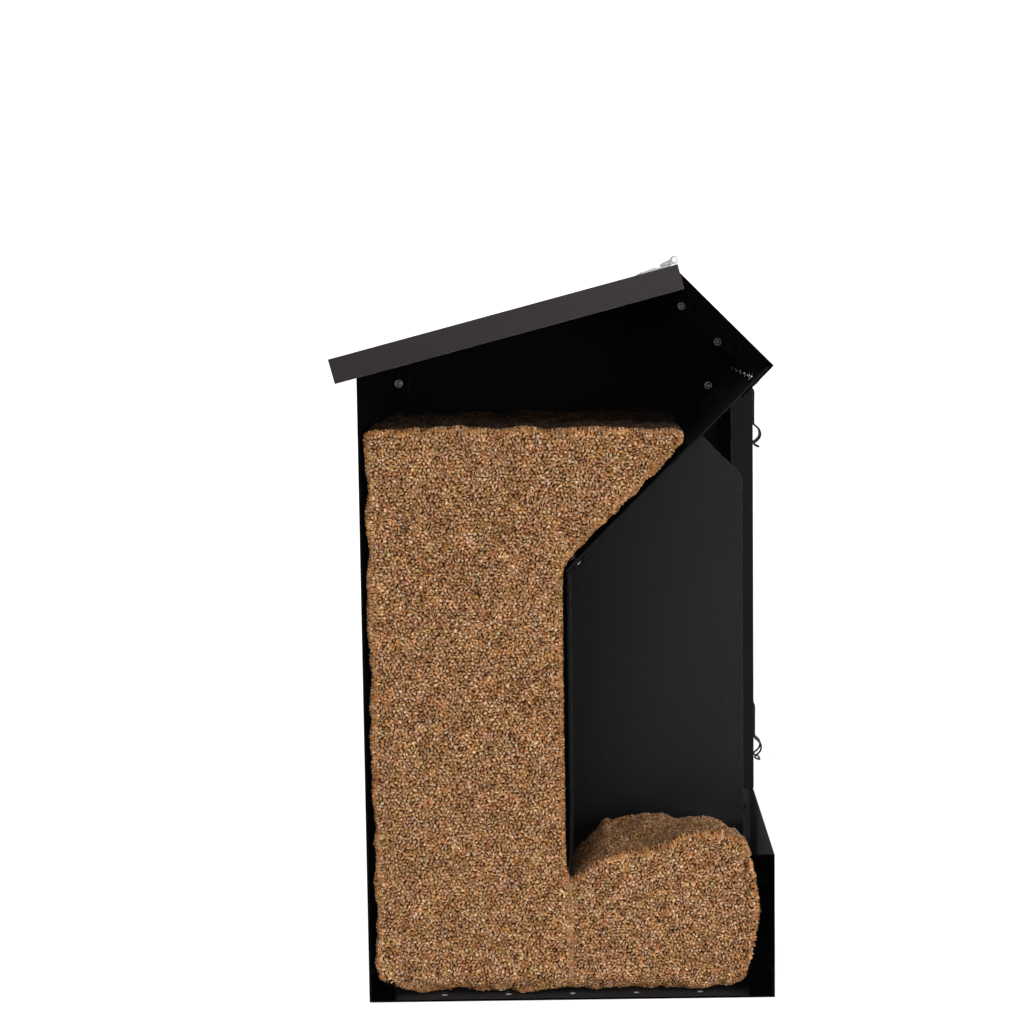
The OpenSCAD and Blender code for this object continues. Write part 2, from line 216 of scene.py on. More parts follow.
def rivet_metal(name, bright, dull, low, high):
    """Rivets: dull rings and polished spots, each rivet a little different."""
    m, nt, bsdf = new_material(name)
    p = place(nt)
    lines = noise_of(nt, p, 2600, 3, 0.6)
    cloud = noise_of(nt, p, 500, 3, 0.6)
    colour = mix(nt, spread(nt, cloud, 0.3, 0.7), bright, dull)
    rough = spread(nt, lines, 0.3, 0.7, low, high)
    bsdf.inputs["Metallic"].default_value = 1.0
    nt.links.new(colour, bsdf.inputs["Base Color"])
    nt.links.new(rough, bsdf.inputs["Roughness"])
    bump(nt, bsdf, lines, 0.00002, 0.5)
    return m


body_coat = powder_coat("black_powder_coat", (0.0046, 0.0046, 0.0048), (0.0066, 0.0066, 0.0068), 0.50, 0.12, 0.45)
trough_coat = powder_coat("black_powder_coat_trough", (0.0090, 0.0090, 0.0094), (0.0120, 0.0120, 0.0125), 0.46, 0.22, 0.40)
# painted shade: a near-black copy of the coat for the inside of the housing, standing in for the shade in it
inner_shade_coat = powder_coat("black_powder_coat_inner_shade", (0.0005, 0.0005, 0.0006), (0.0009, 0.0009, 0.0010), 0.60, 0.015, 0.10, 0.03)
# painted shade: a still darker copy for the near flanges, tabs and the hood's near cut edge, which lie in shade
deep_shade_coat = powder_coat("black_powder_coat_flange_shade", (0.0003, 0.0003, 0.0003), (0.0005, 0.0005, 0.0005), 0.62, 0.0, 0.04, 0.02)
# painted shade: a darker copy for the cut edges of the chute and baffle beside the clear side
edge_shade_coat = powder_coat("black_powder_coat_edge_shade", (0.0030, 0.0030, 0.0031), (0.0042, 0.0042, 0.0043), 0.55, 0.05, 0.08, 0.05)
# painted shade: a darker copy of the coat for the far side panel's front lip
lip_shade_coat = powder_coat("black_powder_coat_lip_shade", (0.0022, 0.0022, 0.0023), (0.0030, 0.0030, 0.0031), 0.50, 0.06, 0.30, 0.15)
floor_coat = powder_coat("black_powder_coat_floor", (0.0120, 0.0126, 0.0142), (0.0165, 0.0172, 0.0190), 0.46, 0.22, 0.35)
# painted shade: the divider's coat is darkened towards the baffle end
plate_coat = powder_coat("black_powder_coat_plate", (0.0036, 0.0036, 0.0037), (0.0048, 0.0048, 0.0049), 0.46, 0.10, 0.35,
                         painted_shade_ramp=(0.004, 0.054, 0.0006))
# painted light: a much lighter grey copy of the coat for the inside of the trough's front wall and its far flange,
# standing in for the light on them
painted_light_coat = powder_coat("black_powder_coat_painted_light", (0.155, 0.155, 0.157), (0.195, 0.195, 0.197), 0.42, 0.35, 0.30)
outer_coat = powder_coat("black_powder_coat_outer", (0.0098, 0.0098, 0.0102), (0.0136, 0.0136, 0.0140), 0.46, 0.22, 0.40)
lid_coat = powder_coat("lid_satin_coat", (0.0124, 0.0090, 0.0098), (0.0154, 0.0113, 0.0122), 0.46, 0.16, 0.30)
zinc = bright_metal("zinc_plate", (0.58, 0.58, 0.575), (0.50, 0.51, 0.52), 0.42, 900, axis=(1, 0.12, 1), spots=0.10,
                    spot_tint=(0.50, 0.49, 0.47), metallic=0.20, drawn=0.14)
pin_steel = bright_metal("hinge_pin_steel", (0.58, 0.58, 0.57), (0.46, 0.46, 0.46), 0.36, 1500, axis=(1, 0.2, 1),
                         metallic=0.35, drawn=0.2)
wire = bright_metal("spring_wire", (0.010, 0.010, 0.010), (0.006, 0.006, 0.006), 0.34, 1800, axis=(1, 1, 0.15),
                    spots=0.3, spot_tint=(0.03, 0.026, 0.022), metallic=0.6)
rivets = rivet_metal("rivet_aluminium", (0.88, 0.88, 0.89), (0.66, 0.66, 0.67), 0.14, 0.28)
dark_rivets = rivet_metal("rivet_steel", (0.46, 0.46, 0.465), (0.28, 0.28, 0.285), 0.08, 0.16)
blued_rivets = rivet_metal("rivet_blued_steel", (0.80, 0.80, 0.805), (0.46, 0.46, 0.466), 0.08, 0.17)
# a darker copy of the rivet metal, painted shade, and rougher, to hold down the glint of the rivets at the top of the
# back
shaded_satin_rivets = rivet_metal("rivet_blued_satin_shade", (0.30, 0.30, 0.303), (0.20, 0.20, 0.203), 0.36, 0.48)
black_rivets = powder_coat("rivet_black", (0.0040, 0.0040, 0.0042), (0.0065, 0.0065, 0.0067), 0.24, 0.50, 0.30)
clear = clear_sheet("clear_side", 0.022, 0.06)
outer_clear = clear_sheet("clear_flange", 0.03, 0.10)
ghost = clear_sheet("clear_fittings", 0.02, 0.0)

finish = {
    "side_panel_left": clear, "side_panel_right": inner_shade_coat, "back_panel": inner_shade_coat, "floor_panel": body_coat,
    "trough_front": trough_coat, "hood_panel": inner_shade_coat, "chute_plate": body_coat, "baffle_plate": body_coat,
    "divider_plate": plate_coat, "lid_tray": lid_coat, "hinge_leaf_fixed": zinc, "hinge_leaf_lid": zinc,
    "hinge_pin": pin_steel, "clip_upper_left": ghost, "clip_lower_left": ghost, "clip_upper_right": wire,
    "clip_lower_right": wire, "rivets_side_left": ghost, "rivets_side_right": blued_rivets,
    "rivets_hood_lap": dark_rivets, "rivets_baffle": rivets, "rivets_divider": dark_rivets,
    "rivets_back": dark_rivets, "rivets_hinge_fixed": black_rivets, "rivets_hinge_lid": zinc,
}
for name, material in finish.items():
    slots = nodes[name].data.materials
    slots.clear()
    slots.append(material)

def second_finish(name, material, chosen):
    """Gives the faces whose corners (in mm) pass the test a finish of their own."""
    mesh = nodes[name].data
    mesh.materials.append(material)
    for face in mesh.polygons:
        corners = [tuple(c / MM for c in mesh.vertices[v].co) for v in face.vertices]
        if chosen(np.array(corners)):
            face.material_index = len(mesh.materials) - 1


# the tabs that are riveted to the clear side go clear with it; the floor's and the trough's stay, in a near-black copy
# of the coat that is painted shade, and so do the rivets through them
second_finish("hood_panel", clear, lambda c: (c[:, 1] < -45.3).all() and (c[:, 1] > -46.18).all())
second_finish("chute_plate", clear, lambda c: (c[:, 1] < -45.3).all() and (c[:, 1] > -46.18).all())
second_finish("back_panel", clear, lambda c: (c[:, 1] < -45.3).all() and (c[:, 1] > -46.18).all() and c[:, 2].min() > 200)
second_finish("floor_panel", deep_shade_coat, lambda c: (c[:, 1] < -45.3).all())
second_finish("trough_front", deep_shade_coat, lambda c: (c[:, 1] < -45.3).all())
second_finish("rivets_side_left", deep_shade_coat, lambda c: c[:, 2].max() < 200)
# painted shade: the rivets at the top of the back get the darker rivet copy
second_finish("rivets_side_right", shaded_satin_rivets, lambda c: c[:, 0].max() < -50 and c[:, 2].min() > 200)
# the far tabs get the same near-black copies of the coat as the wall they lie on, as painted shade
second_finish("chute_plate", inner_shade_coat, lambda c: (c[:, 1] > 45.3).all() and (c[:, 1] < 46.18).all())
second_finish("hood_panel", deep_shade_coat, lambda c: (c[:, 1] > 45.3).all() and (c[:, 1] < 46.18).all())
# painted light: the inside of the trough's front wall and its far flange get a much lighter grey copy of the coat,
# standing in for the light on them; painted shade: the far side panel's front lip gets a darker copy
second_finish("trough_front", painted_light_coat,
              lambda c: np.ptp(c[:, 0]) < 0.01 and 82.6 < c[0, 0] < 82.8 and (np.abs(c[:, 1]) < 46.3).all())
second_finish("trough_front", painted_light_coat, lambda c: np.ptp(c[:, 1]) < 0.01 and 45.3 < c[0, 1] < 45.5)
second_finish("side_panel_right", lip_shade_coat, lambda c: (c[:, 0] > 72).all() and (c[:, 1] < 46.3).all())
# the outside of the housing is an ordinary black in the light
second_finish("side_panel_right", outer_coat, lambda c: (c[:, 1] > 46.95).all() or (c[:, 0] > 83.45).all())
second_finish("side_panel_left", outer_clear, lambda c: (c[:, 0] > 83.45).all())
second_finish("back_panel", outer_coat, lambda c: (c[:, 0] < -83.45).all())
second_finish("trough_front", outer_coat, lambda c: (c[:, 0] > 83.45).all())
second_finish("hood_panel", outer_coat, lambda c: (np.abs(c[:, 0] + c[:, 2] - 344.1) < 0.03).all()
              or (np.abs(c[:, 2] - c[:, 0] - 177.1) < 0.03).all())
second_finish("chute_plate", outer_coat, lambda c: (np.abs(c[:, 2] - c[:, 0] - 178.231) < 0.05).all())
second_finish("floor_panel", floor_coat, lambda c: np.ptp(c[:, 2]) < 0.01 and 0.79 < c[0, 2] < 0.81)
# painted shade: the cut edges beside the clear side get darker copies of the coat
second_finish("hood_panel", deep_shade_coat, lambda c: (c[:, 1] < -46.18).all())
second_finish("chute_plate", edge_shade_coat, lambda c: (c[:, 1] < -46.18).all())
second_finish("baffle_plate", edge_shade_coat, lambda c: (c[:, 1] < -46.18).all())
# the hood's hinge leaf was coated with the hood and gets the same near-black copy as the hood's inside, which is
# painted shade; its knuckles are bare
second_finish("hinge_leaf_fixed", inner_shade_coat,
              lambda c: math.hypot(c[:, 0].mean() - 43.9333, c[:, 2].mean() - 303.1365) > 3.4)

sheets = ("side_panel_right", "back_panel", "floor_panel", "trough_front", "hood_panel", "chute_plate",
          "baffle_plate", "divider_plate", "lid_tray", "hinge_leaf_fixed", "hinge_leaf_lid")
for name in sheets:
    edge = nodes[name].modifiers.new("broken_edges", "BEVEL")
    edge.width = 0.00016 if name != "lid_tray" else 0.00028
    edge.segments = 2
    edge.limit_method = "ANGLE"
    edge.angle_limit = math.radians(50)
    edge.use_clamp_overlap = True
    edge.harden_normals = False


# ------------------------------------------------------------------ feed

def resample(points, step):
    """A closed outline with points about one step apart."""
    p = np.array(points, float)
    q = np.roll(p, -1, 0)
    length = np.hypot(*(q - p).T)
    at = np.concatenate([[0], np.cumsum(length)])
    n = int(round(at[-1] / step))
    s = np.arange(n) * at[-1] / n
    closed = np.vstack([p, p[:1]])
    return np.stack([np.interp(s, at, closed[:, i]) for i in (0, 1)], 1), s, at[-1]


def rounded(points, times):
    """Corner cutting, for an outline without hard corners."""
    p = np.array(points, float)
    for _ in range(times):
        q = np.roll(p, -1, 0)
        p = np.stack([p * 0.75 + q * 0.25, p * 0.25 + q * 0.75], 1).reshape(-1, 2)
    return p


def outward(p):
    """Outward normals of a closed outline that runs anticlockwise."""
    t = np.roll(p, -2, 0) - np.roll(p, 2, 0)
    t /= np.hypot(*t.T)[:, None]
    return np.stack([t[:, 1], -t[:, 0]], 1)


def inside(points, loop):
    x, y = points.T
    found = np.zeros(len(points), bool)
    for a, b in zip(loop, np.roll(loop, -1, 0)):
        crosses = (a[1] > y) != (b[1] > y)
        with np.errstate(divide="ignore", invalid="ignore"):
            found ^= crosses & (x < (b[0] - a[0]) * (y - a[1]) / (b[1] - a[1]) + a[0])
    return found


def far_from(points, others, gap):
    keep = np.ones(len(points), bool)
    for i in range(0, len(points), 2000):
        d = points[i:i + 2000, None] - others[None]
        keep[i:i + 2000] = (d ** 2).sum(2).min(1) > gap * gap
    return keep


def scatter(rng, low, high, area, wobble=0.42):
    """Shaken centres of grains of that mean area, in mm."""
    h = math.sqrt(area * 2 / math.sqrt(3))
    nx = int((high[0] - low[0]) / h) + 2
    ny = int((high[1] - low[1]) / (h * math.sqrt(3) / 2)) + 2
    i, j = np.meshgrid(np.arange(nx), np.arange(ny), indexing="ij")
    p = np.stack([low[0] + (i + 0.5 * (j % 2)) * h, low[1] + j * h * math.sqrt(3) / 2], 2).reshape(-1, 2)
    return p + rng.uniform(-wobble, wobble, p.shape) * h


def triangles(points, loop_edges, loop=None):
    out = delaunay_2d_cdt([Vector(p) for p in points], loop_edges, [], 1, 1e-7, True)
    ids = [o[0] if o else -1 for o in out[3]]
    found = np.array([[ids[v] for v in f] for f in out[2]], int)
    if loop is not None:
        found = found[inside(points[found].mean(1), loop)]
    return found


def grains_mesh(points, kind, tris, rng):
    """Turns each grain centre of a triangulated sheet into a lump with a rim; where three grains meet there is
    either a dark pit between them or a shallow dip where they touch. Part of the neighbours run into each other.
    Returns flat points, height class (2 top, 1 rim, 0 pit, 3 touch, -1 plain), the grain of each point, and the faces."""
    n, t = len(points), len(tris)
    middle = points[tris].mean(1)
    gap_id = n + np.arange(t)
    flat = [points, middle]
    wide = points[tris[:, 1]] - points[tris[:, 0]], points[tris[:, 2]] - points[tris[:, 0]]
    size_of = np.abs(wide[0][:, 0] * wide[1][:, 1] - wide[0][:, 1] * wide[1][:, 0]) * rng.uniform(0.55, 1.45, t)
    beside = [[] for _ in range(t)]
    sides = {}
    for i, f in enumerate(tris.tolist()):
        for c in range(3):
            side = (min(f[c], f[(c + 1) % 3]), max(f[c], f[(c + 1) % 3]))
            if side in sides:
                beside[i].append(sides[side])
                beside[sides[side]].append(i)
            sides[side] = i
    pit = np.zeros(t, bool)
    joined = rng.random(t) < 0.30
    corners = kind[tris].sum(1)
    whole = (corners == 3) | ((corners == 2) & (rng.random(t) < 0.35))
    for i in np.argsort(-size_of).tolist():
        pit[i] = whole[i] and sum(pit[j] for j in beside[i]) <= (1 if joined[i] else 0)
    dip = np.where(pit, 0, np.where(whole | (rng.random(t) < 0.25), 3, 1))
    level = [np.where(kind, 2, -1), np.where(kind[tris].any(1), dip, -1)]
    owner = [np.arange(n), tris[:, 0]]
    rim = np.full((t, 3), -1)
    count = n + t
    way = rng.uniform(0, math.pi, n)
    along = np.stack([np.cos(way), np.sin(way)], 1)
    long, size = rng.uniform(1.05, 1.55, n), rng.uniform(0.475, 0.635, n)
    for c in range(3):
        grain = kind[tris[:, c]]
        k = np.flatnonzero(grain)
        a = tris[k, c]
        out = middle[k] - points[a]
        part = (out * along[a]).sum(1)[:, None] * along[a]
        out = (part * long[a][:, None] + (out - part) / long[a][:, None]) * (size[a] * rng.uniform(0.92, 1.08, len(k)))[:, None]
        flat.append(points[a] + out)
        level.append(np.ones(len(k), int))
        owner.append(a)
        rim[k, c] = count + np.arange(len(k))
        rim[~grain, c] = tris[~grain, c]
        count += len(k)
    faces = []
    shared = {}
    for i, f in enumerate(tris.tolist()):
        for c in range(3):
            a, b = f[c], f[(c + 1) % 3]
            shared.setdefault((min(a, b), max(a, b)), []).append((i, c))
    for (_, _), uses in shared.items():
        i, c = uses[0]
        d = (c + 1) % 3
        a, b = tris[i, c], tris[i, d]
        if len(uses) == 1:
            faces.append((a, b, gap_id[i]))
            continue
        j, e = uses[1]
        ra1, rb1 = rim[i, c], rim[i, d]
        other = tris[j].tolist()
        ra2, rb2 = rim[j, other.index(a)], rim[j, other.index(b)]
        g1, g2 = gap_id[i], gap_id[j]
        if kind[a] and kind[b] and rng.random() < 0.42:
            faces += [(a, ra2, ra1), (ra1, ra2, rb2), (ra1, rb2, rb1), (ra2, g2, rb2), (rb1, g1, ra1), (b, rb1, rb2)]
            continue
        if kind[a]:
            faces.append((a, ra2, ra1))
            faces.append((ra1, ra2, g2))
            faces.append((ra1, g2, g1))
        else:
            faces.append((a, g2, g1))
        if kind[b]:
            faces.append((b, rb1, rb2))
            faces.append((rb2, rb1, g1))
            faces.append((rb2, g1, g2))
        else:
            faces.append((b, g1, g2))
    return np.vstack(flat), np.concatenate(level), np.concatenate(owner), [tuple(int(v) for v in f) for f in faces]


PALETTE = np.array([
    (0.325, 0.187, 0.101), (0.285, 0.152, 0.075), (0.238, 0.120, 0.054), (0.375, 0.236, 0.144),
    (0.190, 0.087, 0.033), (0.255, 0.122, 0.052), (0.283, 0.158, 0.066), (0.135, 0.058, 0.021),
])
SHARE = np.array([0.26, 0.24, 0.18, 0.14, 0.07, 0.05, 0.04, 0.02])


def feed_body(name, outline, half_y, bevel, area, dense_top, seed, sink=None, top_area=2.6):
    """A closed body of loose feed: flat faces against the side panels, rounded over into a band that follows the outline.
    dense_top(x, z) says where the band is in sight."""
    rng = np.random.default_rng(seed)
    loop, s, total = resample(outline, 0.42)
    spare = len(loop) % 4
    if spare:
        loop, s, total = resample(outline, total / (len(loop) - spare))
    normal = outward(loop)
    for _ in range(6):
        normal = normal + np.roll(normal, 1, 0) + np.roll(normal, -1, 0)
        normal /= np.hypot(*normal.T)[:, None]
    n = len(loop)
    flat_half = half_y - bevel

    def band(sy):
        """Point and normal of the band at (length along the outline, y)."""
        at, y = sy[:, 0] % total, sy[:, 1]
        ring = np.vstack([loop, loop[:1]])
        rn = np.vstack([normal, normal[:1]])
        stops = np.append(s, total)
        base = np.stack([np.interp(at, stops, ring[:, i]) for i in (0, 1)], 1)
        nn = np.stack([np.interp(at, stops, rn[:, i]) for i in (0, 1)], 1)
        over = np.clip((np.abs(y) - flat_half) / bevel, 0, 1)
        # equal steps of y up to the edge become equal steps round the rounding
        turn = over * math.pi / 2
        inset = bevel * (1 - np.cos(turn))
        yy = np.where(over > 0, np.sign(y) * (flat_half + bevel * np.sin(turn)), y)
        base = base - nn * inset[:, None]
        point = np.stack([base[:, 0], yy, base[:, 1]], 1)
        direction = np.stack([nn[:, 0] * np.cos(turn), np.sign(y) * np.sin(turn), nn[:, 1] * np.cos(turn)], 1)
        return point, direction

    # the band: rows of plain points on both rims, grains where it is seen, a few points elsewhere
    rim_near = np.stack([s, np.full(n, -half_y)], 1)
    rim_far = np.stack([s, np.full(n, half_y)], 1)
    p = scatter(rng, (0, -half_y), (total, half_y), top_area)
    p = p[(p[:, 0] > 0.3) & (p[:, 0] < total - 0.3) & (p[:, 1] > -half_y + 2.4) & (p[:, 1] < half_y - 0.5)]
    rim_grains = scatter(rng, (0, -half_y + 0.45), (total, -half_y + 2.0), area * 0.72, 0.34)
    rim_grains = rim_grains[(rim_grains[:, 0] > 0.3) & (rim_grains[:, 0] < total - 0.3) & (rim_grains[:, 1] > -half_y + 0.3)
                            & (rim_grains[:, 1] < -half_y + 2.4)]
    p = np.vstack([p[far_from(p, rim_grains, 0.9)], rim_grains])
    base, _ = band(p)
    seen = dense_top(base[:, 0], base[:, 2]) | (p[:, 1] < -half_y + bevel * 1.2 + 1.5)
    grains = p[seen]
    coarse = scatter(rng, (0, -half_y), (total, half_y), 40.0, 0.2)
    coarse = coarse[(coarse[:, 0] > 1) & (coarse[:, 0] < total - 1) & (np.abs(coarse[:, 1]) < half_y - 2.5)]
    base, _ = band(coarse)
    coarse = coarse[~(dense_top(base[:, 0], base[:, 2]) | (coarse[:, 1] < -half_y + bevel * 1.2 + 1.5))]
    coarse = coarse[far_from(coarse, grains, 2.0)]
    # the seam of the unrolled band is a column of points that is used twice
    seam_y = np.arange(-half_y, half_y, 1.1)[1:]
    seam = np.stack([np.zeros(len(seam_y)), seam_y], 1)
    seam2 = seam + (total, 0)
    end_near, end_far = np.array([[total, -half_y]]), np.array([[total, half_y]])
    sheet = np.vstack([rim_near, end_near, rim_far, end_far, seam, seam2, grains, coarse])
    a0, a1 = 0, n
    b0, b1 = n + 1, 2 * n + 1
    c0 = 2 * n + 2
    c1 = c0 + len(seam)
    edges = [(i, i + 1) for i in range(a0, a1)] + [(i, i + 1) for i in range(b0, b1)]
    left = [a0] + list(range(c0, c1)) + [b0]
    right = [a1] + list(range(c1, c1 + len(seam))) + [b1]
    edges += list(zip(left, left[1:])) + list(zip(right, right[1:]))
    kind = np.zeros(len(sheet), bool)
    g0 = c1 + len(seam)
    kind[g0:g0 + len(grains)] = True
    tris = triangles(sheet, edges)
    # along the rims grains of uneven length follow each other, seen by their sides, which are painted darker as shade
    runs = ((1, 1, 1), (1, 2, 1, 1), (1, 1, 1, 1), (1, 3, 1, 1), (1, 1, 2, 1, 1))
    ring_type, ring_owner = [], []
    while len(ring_type) < n:
        run = runs[rng.integers(len(runs))]
        ring_owner += [len(ring_type)] * len(run)
        ring_type += run
    ring_type, ring_owner = np.array(ring_type[:n]), np.array(ring_owner[:n])
    plain = np.full(len(sheet), -1)
    plain[:n], plain[n + 1:2 * n + 1] = ring_type, ring_type
    plain[n], plain[2 * n + 1] = ring_type[0], ring_type[0]
    flat, level, owner, faces = grains_mesh(sheet, kind, tris, rng)
    point, direction = band(flat)
    merge = {int(b): int(a) for a, b in zip(left, right)}
    level[:len(sheet)] = np.where(kind, level[:len(sheet)], plain)
    owner[:n], owner[n + 1:2 * n + 1] = ring_owner, n + 1 + ring_owner
    parts = [(point, direction, level, owner, faces, kind, flat)]

    # the two flat ends, inside the rounding
    inset_loop = loop - normal * bevel
    for side in (-1, 1):
        low, high = inset_loop.min(0), inset_loop.max(0)
        if side < 0:
            q = scatter(rng, low, high, area)
            q = q[inside(q, inset_loop)]
            q = q[far_from(q, inset_loop, 0.55)]
        else:
            q = scatter(rng, low, high, 60.0, 0.1)
            q = q[inside(q, inset_loop)]
            q = q[far_from(q, inset_loop, 2.5)]
        pts = np.vstack([inset_loop, q])
        kind2 = np.zeros(len(pts), bool)
        kind2[n:] = side < 0
        tris2 = triangles(pts, [(i, (i + 1) % n) for i in range(n)], inset_loop)
        flat2, level2, owner2, faces2 = grains_mesh(pts, kind2, tris2, rng)
        point2 = np.stack([flat2[:, 0], np.full(len(flat2), side * half_y), flat2[:, 1]], 1)
        direction2 = np.tile((0.0, float(side), 0.0), (len(flat2), 1))
        parts.append((point2, direction2, level2, owner2, faces2, kind2, flat2))

    verts, colours, faces_all, uvs = [], [], [], []
    offset = 0
    index = []
    for k, (point, direction, level, owner, faces, kind, flat) in enumerate(parts):
        grain_tone = rng.choice(len(PALETTE), size=kind.size, p=SHARE)
        lift = rng.normal(0, 0.10, kind.size).clip(-0.22, 0.16)
        bright = rng.normal(1.04, 0.10, kind.size).clip(0.78, 1.30)
        height = np.select([level == 2, level == 1, level == 0, level == 3], [0.42, 0.22, -0.80, 0.06], 0.0)
        height = height + np.where((level == 1) | (level == 2), lift[owner] + rng.normal(0, 0.045, len(level)), 0)
        height = np.where((level == 0) | (level == 3), height + rng.normal(0, 0.09, len(level)), height)
        height = np.where(level == -1, rng.uniform(-0.15, 0.1, len(level)), height)
        tone = PALETTE[grain_tone[owner]] * bright[owner][:, None]
        # painted light and shade: each grain's top is painted lighter as a highlight and its rim darker as shade; the
        # pits and dips between grains are painted near black and dark brown as the shade in the gaps; plain points, out
        # of sight, get a flat dark brown
        tone = np.where((level == 2)[:, None], tone * (1.12, 1.62, 2.30) * rng.uniform(0.86, 1.16, len(level))[:, None], tone)
        tone = np.where((level == 1)[:, None], tone * (0.72, 0.60, 0.42) * rng.uniform(0.66, 1.28, len(level))[:, None], tone)
        depth = rng.uniform(0.3, 2.0, len(level))[:, None]
        tone = np.where((level == 0)[:, None], np.array((0.0075, 0.0024, 0.0008)) * depth, tone)
        tone = np.where((level == 3)[:, None], np.array((0.083, 0.029, 0.0075)) * (0.5 + 0.5 * depth), tone)
        tone = np.where((level == -1)[:, None], (0.095, 0.041, 0.015), tone)
        verts.append(point + direction * height[:, None])
        colours.append(tone)
        index.append((offset, len(point)))
        for f in faces:
            faces_all.append((f[0] + offset, f[1] + offset, f[2] + offset))
        offset += len(point)
        # flat maps of the three sheets, side by side
        if k == 0:
            uvs.append(np.stack([flat[:, 0], flat[:, 1] + half_y + 300], 1))
        else:
            uvs.append(np.stack([flat[:, 0] + 100 + (k - 1) * 200, flat[:, 1]], 1))
    verts, colours, uvs = np.vstack(verts), np.vstack(colours), np.vstack(uvs)

    # shared points: the seam of the band, and the rims of the two ends
    same = np.arange(len(verts))
    for b, a in merge.items():
        same[b] = a
    near0, far0 = index[1][0], index[2][0]
    for i in range(n):
        same[near0 + i] = i
        same[far0 + i] = b0 + i
    uv_corner = uvs[np.array(faces_all)]
    faces_np = same[np.array(faces_all)]
    keep = (faces_np[:, 0] != faces_np[:, 1]) & (faces_np[:, 1] != faces_np[:, 2]) & (faces_np[:, 2] != faces_np[:, 0])
    faces_np, uv_corner = faces_np[keep], uv_corner[keep]
    used = np.unique(faces_np)
    renum = np.full(len(verts), -1)
    renum[used] = np.arange(len(used))
    faces_np = renum[faces_np]
    verts, colours = verts[used], colours[used]

    # slow swells in the surface, and the lower near edge drawn back from the floor's first row of holes
    swell = np.array([noise.noise(Vector(v) / 13.0) for v in verts.tolist()])
    ripple = np.array([noise.noise(Vector(v) / 5.0 + Vector((7, 3, 1))) for v in verts.tolist()])
    if sink is not None:
        verts = sink(verts, swell, ripple)
    patch = np.array([noise.noise(Vector(v) / 9.0 + Vector((1, 9, 4))) for v in verts.tolist()])
    small = np.array([noise.noise(Vector(v) / 2.8 + Vector((3, 6, 2))) for v in verts.tolist()])
    warm = np.array([noise.noise(Vector(v) / 3.6 + Vector((5, 2, 8))) for v in verts.tolist()])
    straw = np.array([noise.noise(Vector(v) / 5.2 + Vector((8, 4, 3))) for v in verts.tolist()])
    # random patches of tone, times the painted shade on the feed's top deep in the hopper
    shade = (1 + 0.18 * patch + 0.26 * small) * depth_shade(verts)
    colours = colours * shade[:, None] * np.stack(
        [1 + 0.10 * warm, 1 - 0.05 * warm + 0.05 * straw, 1 - 0.16 * warm - 0.20 * straw], 1)

    mesh = bpy.data.meshes.new(name)
    mesh.from_pydata((verts * MM).tolist(), [], faces_np.tolist())
    mesh.update()
    layer = mesh.color_attributes.new("grain_tone", "FLOAT_COLOR", "POINT")
    rgba = np.concatenate([colours.clip(0, 1), np.ones((len(colours), 1))], 1)
    layer.data.foreach_set("color", rgba.astype(np.float32).ravel())
    uv = mesh.uv_layers.new(name="OFBake")
    # corners keep their order only if from_pydata kept every face as it was given
    corner_uv = uv_corner.reshape(-1, 2)
    size = max(np.ptp(corner_uv[:, 0]), np.ptp(corner_uv[:, 1])) * 1.01
    corner_uv = (corner_uv - corner_uv.min(0)) / size + 0.003
    if len(mesh.loops) == len(corner_uv):
        uv.uv.foreach_set("vector", corner_uv.astype(np.float32).ravel())
    else:
        mesh.uv_layers.remove(uv)
    ob = bpy.data.objects.new(name, mesh)
    bpy.context.collection.objects.link(ob)
    print(name, "faces", len(mesh.polygons), "verts", len(mesh.vertices))
    return ob


def feed_material():
    m, nt, bsdf = new_material("mixed_feed")
    p = place(nt)
    tone = add(nt, "ShaderNodeAttribute", {"attribute_name": "grain_tone"}).outputs["Color"]
    husk = noise_of(nt, p, 2600, 3, 0.65)
    flour = noise_of(nt, p, 900, 4, 0.7)
    tone = mix(nt, 1.0, tone, mix(nt, spread(nt, husk, 0.25, 0.75), (0.78, 0.76, 0.74), (1.16, 1.15, 1.12)), "MULTIPLY")
    tone = mix(nt, spread(nt, flour, 0.58, 0.74, 0.0, 0.13), tone, (0.44, 0.32, 0.21))
    nt.links.new(tone, bsdf.inputs["Base Color"])
    nt.links.new(spread(nt, husk, 0.3, 0.7, 0.58, 0.78), bsdf.inputs["Roughness"])
    bsdf.inputs["Specular IOR Level"].default_value = 0.10
    height = math_of(nt, "ADD", husk, math_of(nt, "MULTIPLY", noise_of(nt, p, 1200, 2), 1.5))
    bump(nt, bsdf, height, 0.00006, 0.7)
    return m


def ease(t):
    t = np.clip(t, 0, 1)
    return t * t * (3 - 2 * t)


def depth_shade(v):
    """Painted shade: the top of the feed inside the hopper, under the lid, is darkened, standing in for the shade
    there; it stays lighter at its clear side.
    """
    x, y, z = v.T
    return 1 - 0.885 * ease((z - 231.0) / 4) * ease((y + 45.6) / 4)


def draw_back(v, swell, ripple):
    """The lower near edge, drawn back from the first row of dust holes."""
    x, y, z = v.T
    low = np.clip((11.0 - z) / 9.0, 0, 1)
    near = np.clip(-y / 46.0, 0, 1) ** 3
    v[:, 1] += low ** 2 * near * (6.4 + swell * 4.2 + ripple * 3.4)


